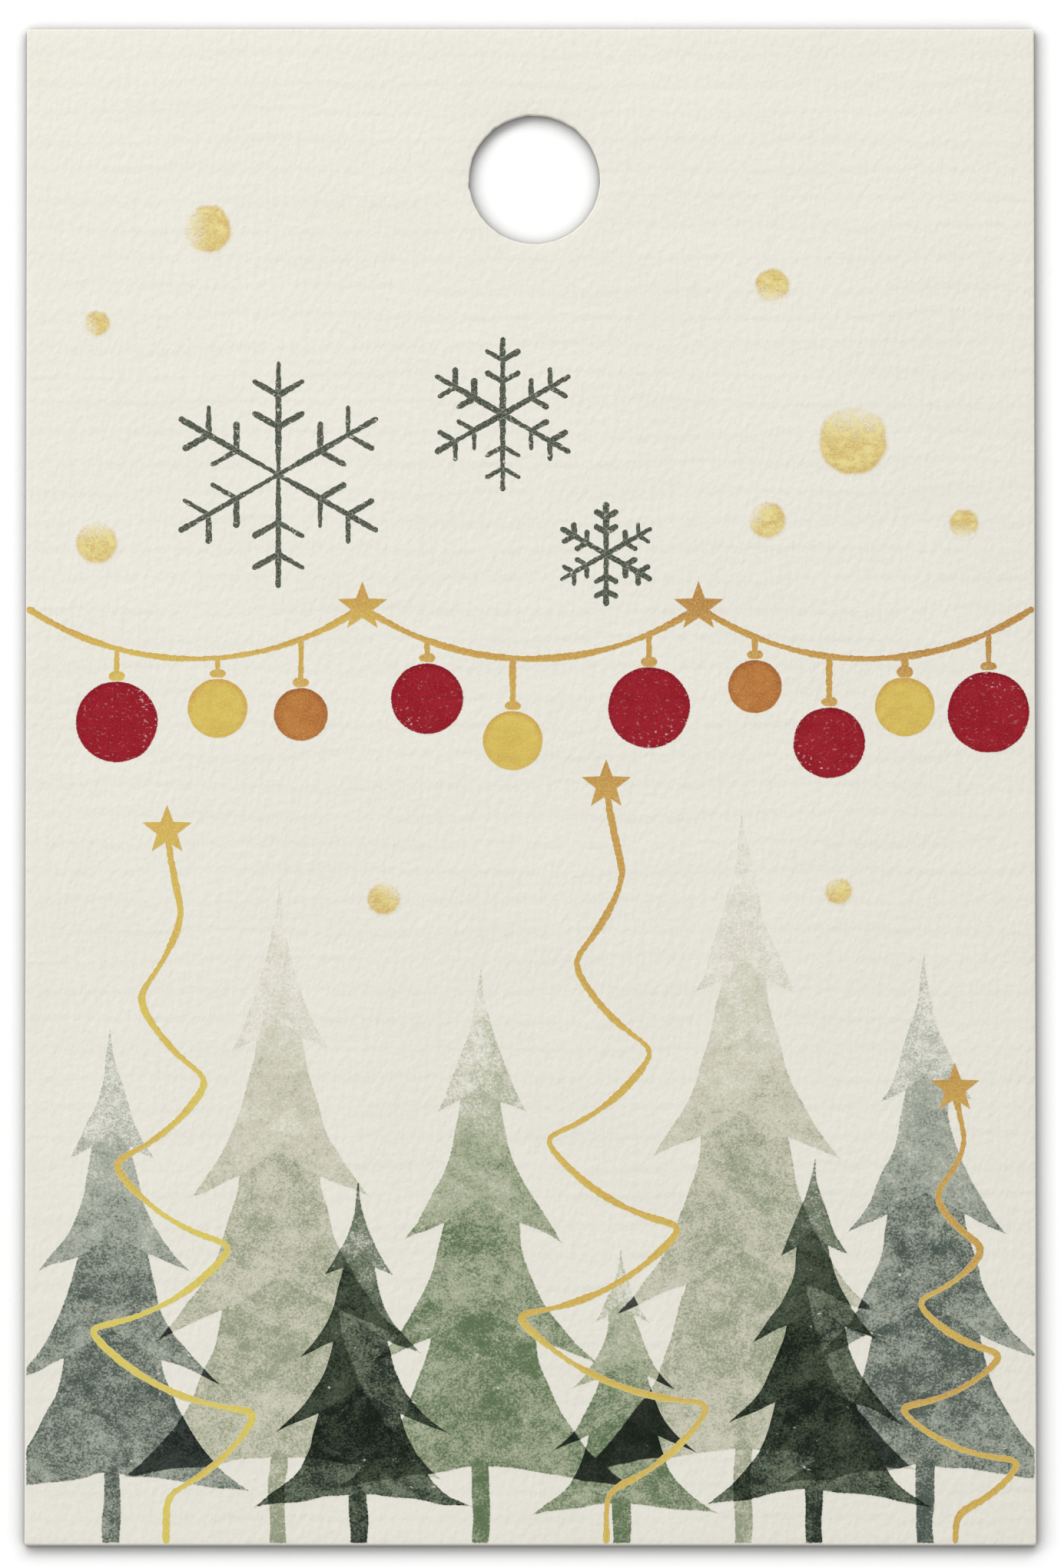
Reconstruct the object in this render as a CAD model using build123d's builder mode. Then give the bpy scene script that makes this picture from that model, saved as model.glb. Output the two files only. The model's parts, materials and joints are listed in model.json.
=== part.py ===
from build123d import *
import os
from math import cos, radians, sin, sqrt

# A flat gift tag: one die-cut card with a punched hanging hole, printed on its front.
# It lies on its back. X runs across the card, Y up towards the hole, Z through the card,
# and the origin is the middle of the back face. Lengths are in millimetres.

# Card
card_width = 50.0
card_height = 76.0
card_thickness = 0.45
corner_radius = 0.2
pressed_rim = 0.08  # bevel that the cutting die leaves round the front
hole_diameter = 6.5
hole_below_top = 7.56  # from the top edge to the hole's centre
hole_right_of_middle = 0.2

# Ink
ink_thickness = 0.03
ink_gap = 0.03  # bare card round each line, disc and star
gold_line = 0.3
green_line = 0.28

# Washed firs, back row first. Each stands on the lower edge of the card.
# Shares: place and reach of half the card's width, height of the card's height.
trunk_width = 0.9
fir_shares = [
    ("fir_pale_left", -0.50, 0.330, 0.435),
    ("fir_pale_right", 0.42, 0.345, 0.485),
    ("fir_slate_left", -0.83, 0.280, 0.340),
    ("fir_sage_middle", -0.10, 0.300, 0.380),
    ("fir_slate_right", 0.78, 0.300, 0.390),
    ("fir_deep_left", -0.34, 0.225, 0.237),
    ("fir_sage_front", 0.18, 0.193, 0.195),
    ("fir_deep_right", 0.56, 0.233, 0.255),
]
fir_tiers = 4
crown_share = 0.90  # of the fir's height, above the bare trunk
tier_depth_power = 0.92
tier_reach_power = 0.85
neck_reach_share = 0.46  # of the tier's reach
neck_lift_share = 0.42  # of the bough's way in to the neck
skirt_lift_share = 0.14  # the same on the lowest tier
left_reach_share = 0.93  # the left boughs are a little shorter
bough_sag_share = 0.19  # of the bough's run outwards, where a quarter would close the top

# Firs drawn in gold as one swinging line from top to foot, with shares as above
gold_fir_strokes = 8
gold_fir_shares = [
    ("gold_fir_left", -0.72, 0.205, 0.470),
    ("gold_fir_middle", 0.15, 0.235, 0.500),
    ("gold_fir_right", 0.84, 0.150, 0.300),
]
gold_crown_share = 0.93
gold_reach_power = 0.9
stroke_sag_share = 0.12  # of the stroke's run across

# Garland of level swags with baubles on short threads
swags = 3
garland_share = 0.235  # height of its posts, of half the card's height
swag_sag = 2.6
cap_width = 0.8
cap_height = 0.5
red_bauble = 4.1
small_red_bauble = 3.6
yellow_bauble = 3.0
orange_bauble = 2.7
bauble_shares = [
    ("bauble_red_1", red_bauble, -0.820, 0.55),
    ("bauble_yellow_1", yellow_bauble, -0.620, 0.25),
    ("bauble_orange_1", orange_bauble, -0.455, 0.95),
    ("bauble_red_2", small_red_bauble, -0.205, 0.30),
    ("bauble_yellow_2", yellow_bauble, -0.035, 1.05),
    ("bauble_red_3", red_bauble, 0.235, 0.55),
    ("bauble_orange_2", orange_bauble, 0.445, 0.30),
    ("bauble_red_4", small_red_bauble, 0.592, 1.00),
    ("bauble_yellow_3", yellow_bauble, 0.742, 0.25),
    ("bauble_red_5", red_bauble, 0.908, 0.70),
]
thread_length = 2.0

# Stars at the garland's posts and on the gold firs
star_diameter = 2.6
star_points = 5
star_waist_share = 0.42

# Snow: pale gold dots. Shares: diameter of the largest dot, places of half the card.
largest_dot = 3.6
dot_shares = [
    ("snow_dot_1", 1.00, 0.640, 0.455),
    ("snow_dot_2", 0.62, -0.860, 0.320),
    ("snow_dot_3", 0.45, 0.860, 0.345),
    ("snow_dot_4", 0.52, 0.480, 0.660),
    ("snow_dot_5", 0.70, -0.640, 0.735),
    ("snow_dot_6", 0.40, -0.860, 0.610),
    ("snow_dot_7", 0.55, 0.470, 0.350),
    ("snow_dot_8", 0.50, -0.290, -0.150),
    ("snow_dot_9", 0.42, 0.610, -0.140),
]

# Line snowflakes in dark green
flake_diameter = 11.4
flake_arms = 6
flake_shares = [
    ("snowflake_large", 1.00, -0.500, 0.410),
    ("snowflake_middle", 0.68, -0.055, 0.490),
    ("snowflake_small", 0.46, 0.150, 0.305),
]
twig_place_shares = (0.42, 0.70)  # along the arm
twig_length_share = 0.26  # of the arm
twig_lean = 60.0  # degrees from the arm

half_width = card_width / 2
half_height = card_height / 2
hole_x = hole_right_of_middle
hole_y = half_height - hole_below_top
print_plane = Plane.XY.offset(card_thickness)


def print_area():
    """The flat of the front face inside its pressed rim, clear of the hole."""
    rim = pressed_rim + ink_gap
    with BuildSketch() as area:
        Rectangle(card_width - 2 * rim, card_height - 2 * rim)
        with Locations((hole_x, hole_y)):
            Circle(hole_diameter / 2 + ink_gap, mode=Mode.SUBTRACT)
    return area.sketch


def fir_side(height, reach, side):
    """Corners of one side from the top down: tip and neck of each tier, then the trunk."""
    crown = height * crown_share
    corners = [(0, height)]
    for tier in range(1, fir_tiers + 1):
        lowest = tier == fir_tiers
        depth = crown * (tier / fir_tiers) ** tier_depth_power
        tip = reach * (tier / fir_tiers) ** tier_reach_power
        neck = trunk_width / 2 if lowest else tip * neck_reach_share
        lift = (tip - neck) * (skirt_lift_share if lowest else neck_lift_share)
        corners.append((side * tip, height - depth))
        corners.append((side * neck, height - depth + lift))
    corners.append((side * trunk_width / 2, 0))
    return corners


def fir_sketch(place_share, reach_share, height_share):
    """Silhouette of a fir: boughs that sweep out in arcs, with straight undersides."""
    height = card_height * height_share
    reach = half_width * reach_share
    right = fir_side(height, reach, 1)
    left = fir_side(height, reach * left_reach_share, -1)
    with BuildSketch(Plane((half_width * place_share, -half_height, 0))) as fir:
        with BuildLine():
            for corners in (right, left):
                for neck, tip, next_neck in zip(corners[:-2:2], corners[1:-1:2], corners[2:-1:2]):
                    SagittaArc(neck, tip, (neck[0] - tip[0]) * bough_sag_share)
                    Line(tip, next_neck)
                Line(corners[-2], corners[-1])
            Line(right[-1], left[-1])
        make_face()
    return fir.sketch


def gold_fir_sketch(place_share, reach_share, height_share, margin):
    """One line that swings from side to side down the fir and ends in its trunk."""
    height = card_height * height_share
    reach = half_width * reach_share
    crown = height * gold_crown_share
    width = gold_line + 2 * margin
    foot = Vector(half_width * place_share, -half_height)
    points = [foot + Vector(0, height)]
    for stroke in range(1, gold_fir_strokes):
        down = stroke / gold_fir_strokes
        side = 1 if stroke % 2 else -1
        points.append(foot + Vector(side * reach * down**gold_reach_power, height - crown * down))
    points.append(foot + Vector(0, height - crown))
    with BuildSketch() as fir:
        for start, end in zip(points[:-1], points[1:]):
            sag = stroke_sag_share * (start.X - end.X)
            SlotArc(SagittaArc(start, end, sag, mode=Mode.PRIVATE), width)
        SlotArc(Line(points[-1], foot, mode=Mode.PRIVATE), width)
    return fir.sketch


def swag_height(x):
    """Height of the garland at x, on the arc of the swag that hangs there."""
    span = card_width / swags
    post_height = half_height * garland_share
    radius = ((span / 2) ** 2 + swag_sag**2) / (2 * swag_sag)
    from_middle = (x + half_width) % span - span / 2
    return post_height - swag_sag + radius - sqrt(radius**2 - from_middle**2)


def bauble_centre(diameter, place_share, thread_share):
    """A bauble hangs below the garland by its thread and its cap."""
    x = half_width * place_share
    drop = thread_length * thread_share + cap_height + ink_gap + diameter / 2
    return x, swag_height(x) - drop


def garland_sketch(margin):
    """Swags from post to post, with a thread and a cap for every bauble."""
    span = card_width / swags
    post_height = half_height * garland_share
    width = gold_line + 2 * margin
    with BuildSketch() as garland:
        for swag in range(swags):
            start = (-half_width + swag * span, post_height)
            end = (start[0] + span, post_height)
            SlotArc(SagittaArc(start, end, -swag_sag, mode=Mode.PRIVATE), width)
        for name, diameter, place_share, thread_share in bauble_shares:
            x, y = bauble_centre(diameter, place_share, thread_share)
            cap_foot = y + diameter / 2 + ink_gap
            with Locations((x, cap_foot + cap_height / 2)):
                Rectangle(cap_width + 2 * margin, cap_height + 2 * margin)
            thread = Line((x, cap_foot + cap_height / 2), (x, swag_height(x)), mode=Mode.PRIVATE)
            SlotArc(thread, width)
    return garland.sketch


def disc_sketch(centre, diameter, margin):
    with BuildSketch(Plane((*centre, 0))) as disc:
        Circle(diameter / 2 + margin)
    return disc.sketch


def star_sketch(centre, margin):
    """Star whose points and waists alternate on two circles."""
    outer = star_diameter / 2 + margin
    turn = 180 / star_points
    corners = []
    for index in range(2 * star_points):
        radius = outer * star_waist_share if index % 2 else outer
        angle = radians(90 + index * turn)
        corners.append((radius * cos(angle), radius * sin(angle)))
    with BuildSketch(Plane((*centre, 0))) as star:
        with BuildLine():
            Polyline(*corners, close=True)
        make_face()
    return star.sketch


def flake_sketch(size_share, x_share, y_share, margin):
    """Snowflake of straight strokes: arms with two pairs of leaning twigs."""
    arm = flake_diameter * size_share / 2
    twig = arm * twig_length_share
    width = green_line + 2 * margin
    centre = Vector(half_width * x_share, half_height * y_share)
    strokes = []
    for index in range(flake_arms):
        angle = index * 360 / flake_arms + 90
        along = Vector(arm, 0).rotate(Axis.Z, angle)
        strokes.append((centre, angle, arm))
        for place_share in twig_place_shares:
            root = centre + along * place_share
            strokes.append((root, angle + twig_lean, twig))
            strokes.append((root, angle - twig_lean, twig))
    with BuildSketch() as flake:
        for root, angle, length in strokes:
            with Locations(Location(root, angle)):
                Rectangle(length + margin, width, align=(Align.MIN, Align.CENTER))
    return flake.sketch


def star_places():
    """Named centres of the stars: the inner posts, then the tops of the gold firs."""
    places = []
    for post in range(1, swags):
        x = -half_width + post * card_width / swags
        places.append((f"post_star_{post}", (x, half_height * garland_share)))
    for index, (name, place_share, reach_share, height_share) in enumerate(gold_fir_shares, 1):
        top = card_height * height_share - half_height
        places.append((f"fir_star_{index}", (half_width * place_share, top)))
    return places


def print_layers():
    """Every motif as (name, outline, cutter for what lies under it), uppermost first.

    Lines, discs and stars are cut free by the ink gap, and a fir's wash butts on the next one.
    """
    layers = []
    for name, centre in star_places():
        layers.append((name, star_sketch(centre, 0), star_sketch(centre, ink_gap)))
    for name, diameter, place_share, thread_share in bauble_shares:
        centre = bauble_centre(diameter, place_share, thread_share)
        outlines = [disc_sketch(centre, diameter, margin) for margin in (0, ink_gap)]
        layers.append((name, *outlines))
    layers.append(("garland", garland_sketch(0), garland_sketch(ink_gap)))
    for name, *shares in flake_shares:
        layers.append((name, flake_sketch(*shares, 0), flake_sketch(*shares, ink_gap)))
    for name, *shares in gold_fir_shares:
        layers.append((name, gold_fir_sketch(*shares, 0), gold_fir_sketch(*shares, ink_gap)))
    for name, size_share, x_share, y_share in dot_shares:
        centre = (half_width * x_share, half_height * y_share)
        outlines = [disc_sketch(centre, largest_dot * size_share, margin) for margin in (0, ink_gap)]
        layers.append((name, *outlines))
    for name, *shares in reversed(fir_shares):
        fir = fir_sketch(*shares)
        layers.append((name, fir, fir))
    return layers


os.makedirs("parts", exist_ok=True)

with BuildPart() as card:
    with BuildSketch():
        RectangleRounded(card_width, card_height, corner_radius)
        with Locations((hole_x, hole_y)):
            Circle(hole_diameter / 2, mode=Mode.SUBTRACT)
    extrude(amount=card_thickness)
    front = card.faces().sort_by(Axis.Z)[-1]
    chamfer(front.outer_wire().edges(), pressed_rim)
card.part.label = "card"
export_step(card.part, "parts/card.step")

area = print_area()
layers = print_layers()
for index, (name, outline, grown) in enumerate(layers):
    above = [cutter for other, motif, cutter in layers[:index]]
    with BuildPart() as film:
        with BuildSketch(print_plane):
            add(outline)
            add(area, mode=Mode.INTERSECT)
            add(above, mode=Mode.SUBTRACT)
        extrude(amount=ink_thickness)
    film.part.label = name
    export_step(film.part, f"parts/{name}.step")
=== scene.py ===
import json

import bpy
import numpy as np
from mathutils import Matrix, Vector


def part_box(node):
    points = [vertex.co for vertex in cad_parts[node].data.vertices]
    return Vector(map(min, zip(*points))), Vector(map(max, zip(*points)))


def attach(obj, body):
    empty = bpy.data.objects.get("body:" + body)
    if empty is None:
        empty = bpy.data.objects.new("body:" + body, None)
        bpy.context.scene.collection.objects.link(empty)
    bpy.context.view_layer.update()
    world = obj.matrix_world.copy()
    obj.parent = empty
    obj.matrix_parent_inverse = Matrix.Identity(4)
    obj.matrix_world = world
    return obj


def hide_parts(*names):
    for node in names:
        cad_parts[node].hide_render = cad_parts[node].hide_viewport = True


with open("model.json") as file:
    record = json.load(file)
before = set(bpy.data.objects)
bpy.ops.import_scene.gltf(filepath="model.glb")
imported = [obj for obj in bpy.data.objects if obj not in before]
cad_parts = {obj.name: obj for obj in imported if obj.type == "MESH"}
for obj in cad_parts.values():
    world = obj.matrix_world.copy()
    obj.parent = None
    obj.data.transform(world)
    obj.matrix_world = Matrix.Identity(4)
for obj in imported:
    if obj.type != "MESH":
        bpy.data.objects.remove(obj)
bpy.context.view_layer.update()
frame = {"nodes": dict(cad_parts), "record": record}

# A flat gift tag of felt-marked card, printed on its front and lying on its back.
# Lengths are in millimetres and become metres where a mesh, a light or the camera is made.
MM = 0.001

# Card, from the frame, with the small radius of its corners
half_width, half_height, thickness = np.array(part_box("card")[1]) / MM
hole_mount = next(mount for mount in frame["record"]["mounts"] if mount["name"] == "hang_hole")
hole_x, hole_y, _ = np.array(hole_mount["pos_m"]) / MM
hole_radius = hole_mount["dims"]["r_mm"]
corner_radius = 0.12

# Die-cut edges: width and depth of the press, and radius of the rolled edge
rim_press_width = 0.45
rim_press_depth = 0.018
hole_press_width = 0.8
hole_press_depth = 0.03
front_roll = 0.05
back_roll = 0.03

# Ragged rim of the hole: waves round it, and nicks as (angle, depth, half width in degrees)
hole_waves = np.arange(6, 40, 3)
hole_wave_height = 0.007
hole_nicks = [(97, 0.05, 2.0), (186, 0.06, 3.0), (128, 0.03, 2.5), (52, 0.03, 3.0), (161, 0.03, 2.0)]

# Felt marking: low waves that run mostly across the card
felt_depth = 0.008
felt_wave_count = 42
felt_wave_lengths = (2.0, 4.5)
felt_lean = 16.0

# Hand wobble of what is painted: slow waves in all directions, eased to nothing at the card's rim
wobble_count = 24
wobble_lengths = (2.2, 7.0)
wobble_lean = 180.0
wobble_reach = 0.09
wobble_ease = 1.0

# A sum of waves is bent into its range at this many times its usual size
wave_bend = 1.2

# Grid of the card
card_step = 0.34
rim_lines = np.array([0.0, 0.004, 0.014, 0.03, 0.05, 0.085, 0.12, 0.2, 0.31, 0.45])
hole_window = 2.4
hole_rings = 24
hole_ring_power = 2.2

# Ink films: how far they reach into the card and stand on it, the step of a layer, how far they stay
# inside the card's rim, and the angle from which edges are sharp
film_sink = 0.004
film_lift = 0.004
film_step = 0.001
bleed_margin = 0.06
sharp_angle = 45.0

# Layers of ink above the lowest one, where strokes or films cross
swag_layers = (0, 1, 0)
thread_layer = 2
cap_layer = 0
disc_layer = 1
twig_layers = {1: (1, 2, 0), -1: (2, 0, 1)}
gold_fir_layer = 4
star_layer = 5

# Washed firs, back row first: place and reach as shares of half the card's width, height as a share
# of the card's, and layer
fir_shares = {
    "fir_pale_left": (-0.50, 0.330, 0.435, 0),
    "fir_pale_right": (0.42, 0.345, 0.485, 0),
    "fir_slate_left": (-0.83, 0.280, 0.340, 1),
    "fir_sage_middle": (-0.10, 0.300, 0.380, 1),
    "fir_slate_right": (0.78, 0.300, 0.390, 1),
    "fir_deep_left": (-0.34, 0.225, 0.237, 2),
    "fir_sage_front": (0.18, 0.193, 0.195, 2),
    "fir_deep_right": (0.56, 0.233, 0.255, 3),
}
fir_tiers = 4
crown_share = 0.90
tier_depth_power = 0.92
tier_reach_power = 0.85
neck_reach_share = 0.46
neck_lift_share = 0.42
skirt_lift_share = 0.14
left_reach_share = 0.93
bough_sag_share = 0.19
axis_turn_share = 0.8
root_rise = 0.35
trunk_width = 0.9
top_width = 0.06
bough_points = 36
underside_points = 16
trunk_points = 8
fir_columns = 36

# Distance inside a lower wash, for places far from any
no_overlap = -1.0

# Firs drawn in gold as one swinging line, with shares as above
gold_fir_shares = {
    "gold_fir_left": (-0.72, 0.205, 0.470),
    "gold_fir_middle": (0.15, 0.235, 0.500),
    "gold_fir_right": (0.84, 0.150, 0.300),
}
gold_fir_strokes = 8
gold_crown_share = 0.93
gold_reach_power = 0.9
stroke_sag_share = 0.12
stroke_points = 24

# Lines: widths, slow swelling, fine roughness of the edges, steps, and rounding of turns and ends
gold_line = 0.32
green_line = 0.28
line_swell_share = 0.22
line_rough = 0.02
line_rough_scale = 12.0
line_step = 0.05
least_steps = 8
line_columns = 5
turn_radius = 0.56
turn_reach = 3
blunt_share = 0.04

# Garland
swag_sag = 2.6
cap_width = 0.8
cap_height = 0.5

# Stars and snowflakes
star_points = 5
star_waist_share = 0.42
flake_arms = 3
twig_place_shares = (0.42, 0.70, -0.42, -0.70)
twig_length_share = 0.26
twig_lean = 60.0

# Discs: lines of their grid, and waves of their rim
disc_lines = 45
bauble_rag_share = 0.008
dot_rag_share = 0.035
disc_waves = np.arange(2, 12)

# Felt paper: tones of clouds and fibres, laid ridges, weights of the relief, and finish, which is
# rougher in the pits of the grain
cream_tones = ((236, 233, 221.5), (237.5, 234.5, 224))
fibre_tones = ((253, 253, 252.5), (255, 255, 255))
cloud_spread = 0.2
fibre_spread = 0.25
laid_pitch = 1.47
laid_drift = 6.0
laid_skew = 0.7
relief_middle = 0.5
grain_relief = 1.6
laid_relief = 0.15
upright_relief = 1.0
grain_depth = 0.026
pit_roughness = 0.95
ridge_roughness = 0.85
paper_gloss = 0.06

# Washes by the word in the names of their firs: ink, thin tone, full tone, the tone that crossings are
# multiplied by, how much pigment they hold, and how far they fade to the top
washes = {
    "pale": ("pale_sage", (208, 206, 186), (148, 157, 128), (150, 158, 145), 0.80, 1.00),
    "sage": ("sage", (176, 182, 154), (96, 118, 84), (82, 86, 90), 0.92, 1.05),
    "slate": ("slate", (168, 174, 160), (78, 90, 82), (98, 104, 104), 0.90, 0.95),
    "deep": ("deep_green", (116, 128, 106), (40, 49, 42), (172, 178, 172), 0.96, 0.60),
}

# Tone of a wash: what each thing adds to it, the ranges in which paper becomes the thin tone and that
# the full tone, and the heights in which it fades
cloud_tone = 1.3
blot_tone = 0.8
grain_tone = 1.9
bough_tone = -0.22
outward_tone = -0.10
outward_power = 2.0
top_tone = -1.0
rim_tone = 0.08
thin_tones = (-0.55, 0.4)
full_tones = (0.3, 1.1)
fade_heights = (0.4, 1.0)

# Edges in a wash: how far blots and grains move them, and the distances over which they change
rim_blots = 0.2
rim_width = 0.2
crossing_blots = 0.12
crossing_width = (-0.02, 0.04)
ragged_grains = 0.12
ragged_width = 0.05
alone_width = (-0.06, -0.01)

# Flecks of paper in a wash: the range of noise in which they appear, and how bare they are
fleck_range = (0.20, 0.28)
most_bare = 0.7

# Line inks: tones from the lower left to the upper right, glints, and shares of grain and bare specks
gold_tones = ((218, 200, 88), (208, 173, 74), (194, 146, 62), (178, 121, 50))
green_tones = ((56, 66, 52), (44, 54, 43))
line_inks = {
    "gold": (gold_tones, (239, 222, 160), 0.32, 0.2),
    "dark_green": (green_tones, (186, 188, 170), 0.32, 0.7),
}

# Softness and fray of the edges of lines
line_soft = 0.012
line_fray = 0.04

# Where a line is in its tones: in the middle of the card, and what its place, drift and edges add
slant_middle = 0.55
slant_across = 0.30
slant_upwards = 0.45
slant_drift = 0.9
slant_edge = 0.10

# Grain and bare specks of printed ink
grain_spread = 0.2
speck_range = (0.10, 0.22)

# Finish of discs: softness and fray of the edge, how far the worn side thins out, how much of the
# darker rim the bottom has, and lumps to the millimetre of the clouds
crisp = {"soft": 0.04, "fray": 0.1, "thin": 0.0, "low_rim": 0.25, "lumps": (1.1, 1.2, 1.1)}
watery = {"soft": 0.2, "fray": 0.35, "thin": 0.9, "low_rim": 0.8, "lumps": (1.5, 2.0, 1.5)}

# Disc inks: light tone, body, rim, glints, shares of grain and bare specks, and finish
disc_inks = {
    "crimson": ((152, 26, 42), (144, 18, 35), (134, 12, 30), (200, 86, 88), 0.16, 0.8, crisp),
    "yellow": ((216, 190, 88), (210, 178, 80), (200, 156, 66), (240, 222, 150), 0.3, 0.15, crisp),
    "orange": ((186, 120, 56), (174, 104, 48), (152, 82, 38), (224, 176, 112), 0.3, 0.2, crisp),
    "pale_gold": ((230, 216, 134), (208, 174, 82), (204, 166, 90), (240, 230, 190), 0.5, 0.3, watery),
}

# Inks of the baubles by the word in their names
bauble_inks = {"red": "crimson", "yellow": "yellow", "orange": "orange"}

# Discs: spread of the clouds, the darker rim, and the thinned and worn side
disc_cloud_spread = 0.15
disc_rim_clouds = 0.25
disc_rim_width = 0.4
disc_rim_heights = (-0.9, 0.9)
thin_clouds = 1.5
thin_grains = 1.6
thin_reach = (-1.0, 0.0)
worn_reach = (-0.95, -0.3)
least_worn = 0.2

# Picture frame in pixels of the photograph, and the camera's angle, lens and sensor
picture_width = 1381
picture_height = 2041
card_width_pixels = 1313.8
card_centre_pixels = (690.4, 1021.75)
camera_elevation = 81.0
camera_lens = 1100.0
camera_sensor = 36.0

# Light: an even sky, and a broad key from the top left, whose power is in watts
sky_level = 0.46
key_power = 6.8
key_distance = 600.0
key_elevation = 43.5
key_azimuth = 30.0
key_width = 2350.0
key_height = 240.0

# Floor: its gap under the card, its white, what the camera sees added to it, and reach and power of
# the painted soft shade where the card meets it, an ambient-occlusion darkening of its colour and glow
floor_gap = 0.03
floor_reach = 5000.0
floor_white = 0.95
floor_glow = 0.14
floor_painted_shade_reach = 1.1
floor_painted_shade_power = 1.3
floor_painted_shade_samples = 8

# Sockets of a node that mixes colours, by number, because several of them share a name
mix_factor = 0
mix_first = 6
mix_second = 7
mix_result = 2

# Middle of a noise, and plain colours
noise_middle = 0.5
white = (1.0, 1.0, 1.0, 1.0)
black = (0.0, 0.0, 0.0, 1.0)

random = np.random.default_rng(24)


def srgb(red, green, blue):
    """Colour of a material from its screen values of 0 to 255, in linear light with full alpha."""
    value = np.array([red, green, blue]) / 255
    linear = np.where(value <= 0.04045, value / 12.92, ((value + 0.055) / 1.055) ** 2.4)
    return (*linear.tolist(), 1.0)


def wave_bank(count, lengths, lean):
    """Plane waves of random phase whose lengths lie between two, leaning at random from the upright."""
    length = lengths[0] * (lengths[1] / lengths[0]) ** random.random(count)
    angle = np.radians(random.uniform(-lean, lean, count))
    wave = 2 * np.pi / length
    return wave * np.sin(angle), wave * np.cos(angle), random.random(count) * 2 * np.pi


def wave_sum(bank, x, y):
    """Sum of the sines of all waves of a bank at a place, bent smoothly into the range from -1 to 1."""
    across, up, phase = bank
    angle = np.multiply.outer(x, across) + np.multiply.outer(y, up) + phase
    return np.tanh(np.sin(angle).sum(-1) / np.sqrt(len(phase) / 2) / wave_bend)


felt_bank = wave_bank(felt_wave_count, felt_wave_lengths, felt_lean)
back_bank = wave_bank(felt_wave_count, felt_wave_lengths, felt_lean)
wobble_banks = [wave_bank(wobble_count, wobble_lengths, wobble_lean) for axis in range(2)]
hole_phases = random.random(len(hole_waves)) * 2 * np.pi


def press(distance, width, depth):
    """Dip that a die leaves: full depth at the edge, falling with the square of the way in."""
    return depth * (1 - np.clip(distance / width, 0, 1)) ** 2


def roll(distance, radius):
    """Quarter round of an edge: how far it lies under the flat at a distance inside the edge."""
    inside = radius - np.clip(distance, 0, radius)
    return radius - np.sqrt(radius**2 - inside**2)


def hole_rim(angle):
    """Radius of the hole by angle: its circle, with small waves in the cut fibres and a few nicks."""
    waves = np.sin(np.multiply.outer(angle, hole_waves) + hole_phases).sum(-1)
    rim = hole_radius + hole_wave_height * waves / np.sqrt(len(hole_waves))
    for place, depth, half in hole_nicks:
        turn = (np.degrees(angle) - place + 180) % 360 - 180
        rim = rim + depth * np.exp(-((turn / half) ** 2))
    return rim


def hole_distance(x, y):
    """Distance outside the rim of the hole."""
    return np.hypot(x - hole_x, y - hole_y) - hole_rim(np.arctan2(y - hole_y, x - hole_x))


def rim_distance(x, y):
    """Distance inside the card's outline, a rectangle with rounded corners."""
    out_x = np.abs(x) - half_width + corner_radius
    out_y = np.abs(y) - half_height + corner_radius
    corner = np.hypot(np.maximum(out_x, 0), np.maximum(out_y, 0))
    return corner_radius - corner - np.minimum(np.maximum(out_x, out_y), 0)


def front_height(x, y):
    """Front of the card: its thickness, less the felt marking and the pressed and rolled edges."""
    felt = felt_depth * (1 - wave_sum(felt_bank, x, y)) / 2
    rim = rim_distance(x, y)
    hole = hole_distance(x, y)
    at_rim = press(rim, rim_press_width, rim_press_depth) + roll(rim, front_roll)
    at_hole = press(hole, hole_press_width, hole_press_depth) + roll(hole, front_roll)
    return thickness - felt - at_rim - at_hole


def back_height(x, y):
    """Back of the card: the felt marking and the rolled edges, all above the flat it lies on."""
    felt = felt_depth * (1 + wave_sum(back_bank, x, y)) / 2
    return felt + roll(rim_distance(x, y), back_roll) + roll(hole_distance(x, y), back_roll)


def grid_quads(index):
    """Quads of a grid of point numbers, counterclockwise where columns go right and rows up."""
    return np.stack([index[:-1, :-1], index[:-1, 1:], index[1:, 1:], index[1:, :-1]], -1)


def perimeter(index):
    """Border of a grid of point numbers as one loop, counterclockwise."""
    return np.concatenate([index[0, :-1], index[:-1, -1], index[-1, :0:-1], index[:0:-1, 0]])


def wall(upper, lower):
    """Quads that join two equal loops, facing away from the inside of a counterclockwise loop."""
    return np.stack([upper, lower, np.roll(lower, -1), np.roll(upper, -1)], -1)


def make_piece(name, node, slot, material, vertices, quads, traits):
    """Puts a mesh of quads into the scene as a piece that stands for a CAD node."""
    mesh = bpy.data.meshes.new(name)
    mesh.from_pydata(vertices * MM, [], quads)
    mesh.shade_smooth()
    mesh.set_sharp_from_angle(angle=np.radians(sharp_angle))
    for key, values in traits.items():
        mesh.attributes.new(key, "FLOAT", "POINT").data.foreach_set("value", values)
    mesh.materials.append(material)
    mesh.update()
    piece = bpy.data.objects.new(name, mesh)
    bpy.context.scene.collection.objects.link(piece)
    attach(piece, "root")
    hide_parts(node)


def graded_lines(half):
    """Grid lines from edge to edge: the fine ones of the rim on both sides, and even steps between."""
    inner = half - rim_lines[-1]
    middle = np.linspace(-inner, inner, round(2 * inner / card_step) + 1)
    return np.concatenate([rim_lines[:-1] - half, middle, half - rim_lines[-2::-1]])


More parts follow.
